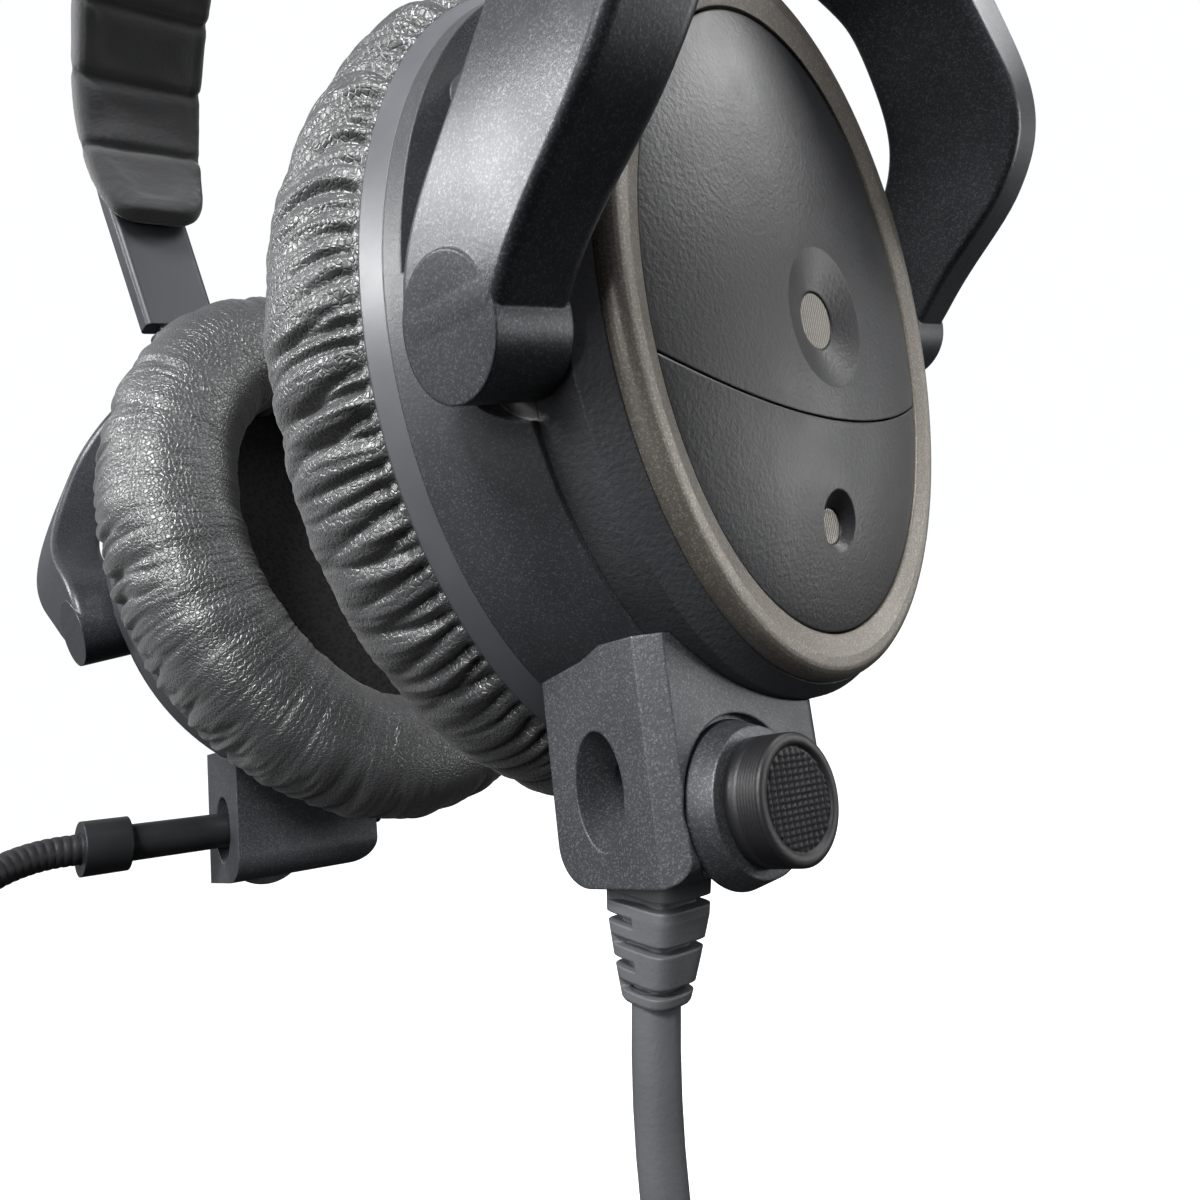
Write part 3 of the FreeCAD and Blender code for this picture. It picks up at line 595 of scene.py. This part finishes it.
def along_band(off, length):
    """Point and outward direction at a length along the band, `off` from its middle line."""
    first = (BAND_R1 + off) * BAND_A1
    c1 = np.array([0.0, BAND_TOP - BAND_R1])
    if length <= first:
        t, c, r = length / (BAND_R1 + off), c1, BAND_R1 + off
    else:
        t, r = BAND_A1 + (length - first) / (BAND_R2 + off), BAND_R2 + off
        c = c1 + np.array([math.sin(BAND_A1), math.cos(BAND_A1)]) * (BAND_R1 - BAND_R2)
    out = np.array([math.sin(t), math.cos(t)])
    return c + out * r, out


def pillow(half, around, along, square=0.5):
    """Closed crowned slab on a grid: first index round the section, second along its length."""
    u = np.arange(around) * 2 * np.pi / around
    v = np.linspace(-np.pi / 2, np.pi / 2, along)

    def power(w, e):
        return np.sign(w) * np.abs(w) ** e

    pts = np.empty((around, along, 3))
    rim = power(np.cos(v), 0.32)
    pts[..., 0] = half[0] * power(np.sin(v), 0.75)[None, :]
    pts[..., 1] = half[1] * power(np.cos(u), square)[:, None] * rim
    pts[..., 2] = half[2] * power(np.sin(u), square + 0.25)[:, None] * rim
    return pts


def quilt(pts, lines, depth, width):
    """Sewn lines across the slab: the surface dips to each stitch row."""
    dip = sum(np.exp(-(np.abs(pts[..., 0] - x) / width) ** 1.3) for x in lines)
    scale = 1.0 - depth * dip / np.maximum(np.abs(pts[..., 2]), 1.0)
    pts = pts.copy()
    pts[..., 2] *= np.clip(scale, 0.3, 1.0)
    return pts


def pad_piece(name, half, lines, place, node, body):
    """One sewn pad: crowned slab, swollen as cloth, quilted and then put in its place."""
    around, along = ((96, 150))
    pts = pillow(half, around, along)
    coarse = pillow(half, 28, 30)
    flat = coarse.reshape(-1, 3)
    held = [i for i, p in enumerate(flat) if p[2] > 0.4 * half[2] or abs(p[0]) > 0.96 * half[0]]
    move = inflate(flat, grid_faces(28, 30), held, 0.8).reshape(28, 30, 3)
    pts = pts + resample(move, around, along)
    pts = quilt(pts, lines, 1.5, 0.9)
    for i in range(around):
        for j in range(along):
            p = pts[i, j]
            if p[2] < 0.5 * half[2]:
                p[2] += 0.35 * noise.noise(Vector(p) * 0.16) + 0.12 * noise.noise(Vector(p) * 0.7)
    pts[..., 2] = np.clip(pts[..., 2], -half[2] - 0.8, half[2])
    pts[..., 1] = np.clip(pts[..., 1], -half[1] - 0.6, half[1] + 0.6)
    obj = add_mesh(name, [place(p) for p in pts.reshape(-1, 3)], grid_faces(around, along))
    return stands_for(obj, node, body)


def build_pads():
    pad_piece("crown_pad_cover", (19.0, 13.9, 5.45), (-9.5, 0.0, 9.5), lambda p: (p[0], p[1], 5.5 + p[2]),
              "crown_pad", "headband")
    half_length = 37.0
    mid, off = (BAND_R1 - 7.3) * math.radians(12.6) + half_length + 0.4, -7.3
    for side, sign in SIDES:
        def place(p, sign=sign):
            at, out = along_band(off, mid + p[0])
            x, z = at + out * p[2]
            return (sign * x, p[1], z)
        pad_piece(f"{side}_pad_cover", (half_length, 12.9, 4.45), (-22.0, -7.5, 7.5, 22.0), place,
                  f"{side}_band_pad", f"{side}_arm")


def sweep(points, radius, sides):
    """Tube of changing radius along a line of points, as a grid and its faces."""
    pts = np.asarray(points, dtype=float)
    ahead = np.gradient(pts, axis=0)
    ahead /= np.linalg.norm(ahead, axis=1, keepdims=True)
    ref = np.array([0.0, 0.0, 1.0])
    side = np.cross(ahead, ref)
    side /= np.linalg.norm(side, axis=1, keepdims=True)
    up = np.cross(side, ahead)
    t = np.arange(sides) * 2 * np.pi / sides
    ring = (side[:, None] * np.cos(t)[None, :, None] + up[:, None] * np.sin(t)[None, :, None])
    grid = pts[:, None] + ring * np.asarray(radius)[:, None, None]
    grid = np.swapaxes(grid, 0, 1)
    return grid, grid_faces(sides, len(pts))


GOOSE = [(0, -17, 0), (0, -31, 0), (-10, -52, -10), (-30, -62, -24)]
MIC_AT = np.array(GOOSE[3], dtype=float)
MIC_WAY = (MIC_AT - np.array(GOOSE[2])) / np.linalg.norm(MIC_AT - np.array(GOOSE[2]))


def rounded_route(points, cut=0.45, steps=24):
    """The CAD's tube route: straight runs joined by arcs, sampled closely."""
    p = [np.array(q, dtype=float) for q in points]
    out = [p[0]]
    for a, b, c in zip(p, p[1:], p[2:]):
        run = cut * min(np.linalg.norm(b - a), np.linalg.norm(c - b))
        u, w = (b - a) / np.linalg.norm(b - a), (c - b) / np.linalg.norm(c - b)
        start, end = b - u * run, b + w * run
        half = math.acos(float(np.clip(u @ w, -1, 1))) / 2
        weight = math.cos(half)
        for t in np.linspace(0, 1, steps):
            k = np.array([(1 - t) ** 2, 2 * t * (1 - t) * weight, t ** 2])
            out.append((k[0] * start + k[1] * b + k[2] * end) / k.sum())
    out.append(p[-1])
    line = np.array(out)
    far = np.concatenate([[0.0], np.cumsum(np.linalg.norm(np.diff(line, axis=0), axis=1))])
    at = np.arange(0.0, far[-1], 0.14)
    return np.stack([np.interp(at, far, line[:, i]) for i in range(3)], 1), at


def build_boom():
    """Ribbed gooseneck and the foam ball over the microphone, on the right cup."""
    line, at = rounded_route([(0, -18.0, 0)] + GOOSE[1:])
    radius = 2.42 + 0.16 * np.sqrt(np.abs(np.sin(np.pi * at / 1.3)))
    grid, faces = sweep(line, radius, 28)
    neck = add_mesh("gooseneck_ribbed", grid, faces, MODULE, mirror=True)
    stands_for(neck, "gooseneck", "mic_neck")

    bm = bmesh.new()
    bmesh.ops.create_icosphere(bm, subdivisions=6, radius=9.2)
    mouth = MIC_AT + MIC_WAY * 9.0
    for v in bm.verts:
        p = v.co.copy()
        puff = 0.25 * noise.noise(p * 0.25) + 0.16 * noise.noise(p * 1.1)
        cell = noise.noise(p * 2.6)
        v.co = p * (1 + (puff - 0.10 * max(0.0, cell)) / 9.2)
        along = float(np.dot(np.array(v.co), MIC_WAY))
        if along < -6.9:
            v.co += Vector(MIC_WAY) * (-6.9 - along)
    verts = [tuple(np.array(v.co) + mouth) for v in bm.verts]
    faces = [tuple(v.index for v in f.verts) for f in bm.faces]
    bm.free()
    foam = add_mesh("windscreen_foam", verts, faces, MODULE, mirror=True)
    stands_for(foam, "windscreen", "mic")


# knob head, in the module frame
KNOB_Y, KNOB_Z, KNOB_R, KNOB_IN, KNOB_OUT = 11.3, -3.0, 6.5, 11.85, 16.45


def build_knobs():
    """Knob head with fine turned grooves near its end and an end face of beaded ribs."""
    edge = [(4.9, 0.02), (4.9, 1.2), (6.5, 1.2), (6.5, 2.5), (KNOB_IN, 2.5)]
    edge += [(KNOB_IN, 6.2), (KNOB_IN + 0.3, KNOB_R)]
    for i in range(7):
        x = KNOB_OUT - 2.9 + 0.36 * i
        edge += [(x, KNOB_R), (x + 0.07, KNOB_R - 0.13), (x + 0.15, KNOB_R - 0.13), (x + 0.22, KNOB_R)]
    edge += [(KNOB_OUT - 0.28, KNOB_R - 0.02), (KNOB_OUT - 0.07, KNOB_R - 0.2), (KNOB_OUT, KNOB_R - 0.5)]
    edge += [(KNOB_OUT, 5.35), (KNOB_OUT - 0.12, 5.2), (KNOB_OUT - 0.45, 5.1)]
    sides = 160
    turn = np.arange(sides) * 2 * np.pi / sides
    rows = [[(x, KNOB_Y + r * math.cos(t), KNOB_Z + r * math.sin(t)) for x, r in edge] for t in turn]
    disc = np.linspace(5.1, 0.02, 46)
    for row, t in zip(rows, turn):
        for r in disc:
            y, z = r * math.cos(t), r * math.sin(t)
            rib = 0.5 + 0.5 * math.cos(2 * math.pi * y / 0.92)
            bead = 0.75 + 0.25 * math.cos(2 * math.pi * z / 0.62)
            inside = min(1.0, (5.1 - r) / 0.3)
            row.append((KNOB_OUT - 0.45 + 0.42 * inside * rib * bead, KNOB_Y + y, KNOB_Z + z))
    for side, sign in SIDES:
        faces = grid_faces(sides, len(rows[0]))
        knob = add_mesh(f"{side}_knob_ribbed", rows, faces, MODULE, mirror=sign < 0)
        stands_for(knob, f"{side}_clamp_knob", f"{side}_knob")


# strain relief, in the row frame
RELIEF_TOP = np.array([54.0, -28.9, -182.6])
RELIEF_WAY = np.array([-0.19, -0.267, -0.945])
RELIEF_WAY /= np.linalg.norm(RELIEF_WAY)
RELIEF_SHAPE = [(-0.5, 9.4, 8.2, 1.2), (4.0, 9.2, 8.0, 1.4), (8.5, 7.8, 7.0, 1.8), (13.0, 6.4, 6.0, 2.4)]
SLOT_ROWS = [(2.4, 0), (4.6, 1), (6.8, 0), (9.0, 1), (11.2, 0)]
SLOT_TURN = math.radians(200.0)    # where the middle of a slot on the second side is
SLOT_SPAN = math.radians(112.0)    # how far a slot runs each way from its middle
SLOT_HALF, SLOT_DEEP = 0.48, 1.5
RELIEF_LEN = 13.0


def build_relief():
    """Tapered rubber sleeve with slots cut in from one side and then the other."""
    out = np.array([1.0, 0, 0]) - RELIEF_WAY * RELIEF_WAY[0]
    out /= np.linalg.norm(out)
    fore = np.cross(RELIEF_WAY, out)
    s_at, w_at, t_at, r_at = np.array(RELIEF_SHAPE).T        # station, width, depth and corner radius
    sides = 144
    turn = np.arange(sides) * 2 * np.pi / sides
    stops = {-0.5, 0.0, 12.6, 12.9, RELIEF_LEN}
    for s, _ in SLOT_ROWS:
        for d in (-0.62, -0.5, -0.46, -0.2, 0.2, 0.46, 0.5, 0.62):
            stops.add(round(s + d, 3))
    rows = []
    stops = sorted(stops)
    for t in turn:
        c, n = math.cos(t), math.sin(t)
        row = []
        for s in stops:
            w, h, r = (np.interp(s, s_at, k) for k in (w_at, t_at, r_at))
            power = 2.0 + 5.0 * (1 - r / (min(w, h) / 2))
            size = 1 / (abs(c / (w / 2)) ** power + abs(n / (h / 2)) ** power) ** (1 / power)
            for at, half in SLOT_ROWS:
                lean = t - (SLOT_TURN if half else SLOT_TURN + math.pi)
                lean = abs((lean + math.pi) % (2 * math.pi) - math.pi)
                if abs(s - at) < SLOT_HALF and lean < SLOT_SPAN:
                    size -= SLOT_DEEP
            if s > 12.8:
                size -= 0.15 if s < 12.95 else 0.4
            row.append(RELIEF_TOP + RELIEF_WAY * s + out * (size * c) + fore * (size * n))
        tip = RELIEF_TOP + RELIEF_WAY * RELIEF_LEN
        row.append(tip + (row[-1] - tip) * (2.66 / np.linalg.norm(row[-1] - tip)))
        row.append(row[-1] - RELIEF_WAY * 1.5)
        rows.append(row)
    relief = add_mesh("strain_relief_slotted", rows, grid_faces(sides, len(rows[0])))
    relief.data.polygons.foreach_set("use_smooth", [False] * len(relief.data.polygons))
    return stands_for(relief, "strain_relief", "left_cup")


# ---- cord ----------------------------------------------------------------------------------
CORD_D = 5.2 * MM
CORD_EXIT = (51.531, -32.370, -194.883)
LEAD = [CORD_EXIT, (48.491, -36.642, -210.0), (46.0, -39.0, -238.0)]
COIL_MIDDLE = (46.0, -9.0, -284.0)
COIL_RADIUS = 30.0
TAIL = [(48.5, -38.0, -318.0), (48.5, -37.99, -346.0)]
TURN_POINTS = 16


def coil_points():
    """Seven turns side by side: one in the middle of the pack and six round it."""
    pitch = 5.25
    places = [(pitch * math.cos(t), pitch * math.sin(t)) for t in
              (math.radians(a) for a in (0, 300, 240, 180))]
    places.append((0.0, 0.0))
    places += [(pitch * math.cos(t), pitch * math.sin(t)) for t in (math.radians(a) for a in (120, 60))]
    swell = 1 / math.cos(math.pi / TURN_POINTS)
    pts = []
    for turn, (dr, dx) in enumerate(places):
        after = places[min(turn + 1, len(places) - 1)]
        for i in range(TURN_POINTS):
            k = max(0.0, (i - TURN_POINTS + 3) / 3)
            r = (COIL_RADIUS + dr + (after[0] - dr) * k) * swell
            x = dx + (after[1] - dx) * k
            t = 2 * math.pi * i / TURN_POINTS
            y, z = r * math.cos(t), r * math.sin(t)
            pts.append((COIL_MIDDLE[0] + x, COIL_MIDDLE[1] - y, COIL_MIDDLE[2] - z))
    last = places[-1]
    pts.append((COIL_MIDDLE[0] + last[1], COIL_MIDDLE[1] - (COIL_RADIUS + last[0]) * swell, COIL_MIDDLE[2]))
    return pts


def build_cord():
    data = bpy.data.curves.new("cord", "CURVE")
    data.dimensions = "3D"
    pts = LEAD + coil_points() + TAIL
    line = data.splines.new("NURBS")
    line.points.add(len(pts) - 1)
    for p, q in zip(line.points, pts):
        p.co = (q[0] * MM, q[1] * MM, q[2] * MM, 1.0)
    line.order_u = 3
    line.use_endpoint_u = True
    line.resolution_u = 6
    data.bevel_depth = CORD_D / 2
    data.bevel_resolution = 4
    data.use_fill_caps = True
    cord = bpy.data.objects.new("cord", data)
    bpy.context.scene.collection.objects.link(cord)
    data.materials.append(materials["cord"])
    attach(cord, "left_cup")
    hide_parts("cord_lead", "cord_coil", "cord_tail")
    return cord


def build_tie():
    """Strap with a square head round the pack of turns at the top of the coil."""
    middle = (COIL_MIDDLE[0], COIL_MIDDLE[1], COIL_MIDDLE[2] + COIL_RADIUS)
    sides = 48
    rows = []
    for i in range(sides):
        t = 2 * math.pi * i / sides
        head = 1.6 if abs(i - sides // 2) < 3 else 0.0
        edge = [(-2.4, 7.95), (-2.4, 8.7 + head), (-2.0, 8.95 + head),
                (2.0, 8.95 + head), (2.4, 8.7 + head), (2.4, 7.95)]
        c, n = math.cos(t), math.sin(t)
        rows.append([(middle[0] + r * c, middle[1] + y, middle[2] + r * n) for y, r in edge])
    tie = add_mesh("tie_strap", rows, grid_faces(sides, len(rows[0]), wrap_m=True))
    tie.data.polygons.foreach_set("use_smooth", [False] * len(tie.data.polygons))
    return stands_for(tie, "cable_tie", "left_cup")


stage()
materials = make_materials()
paint_frame()
build_cushions()
build_pads()
build_boom()
build_knobs()
relief = build_relief()
tie = build_tie()
cord = build_cord()
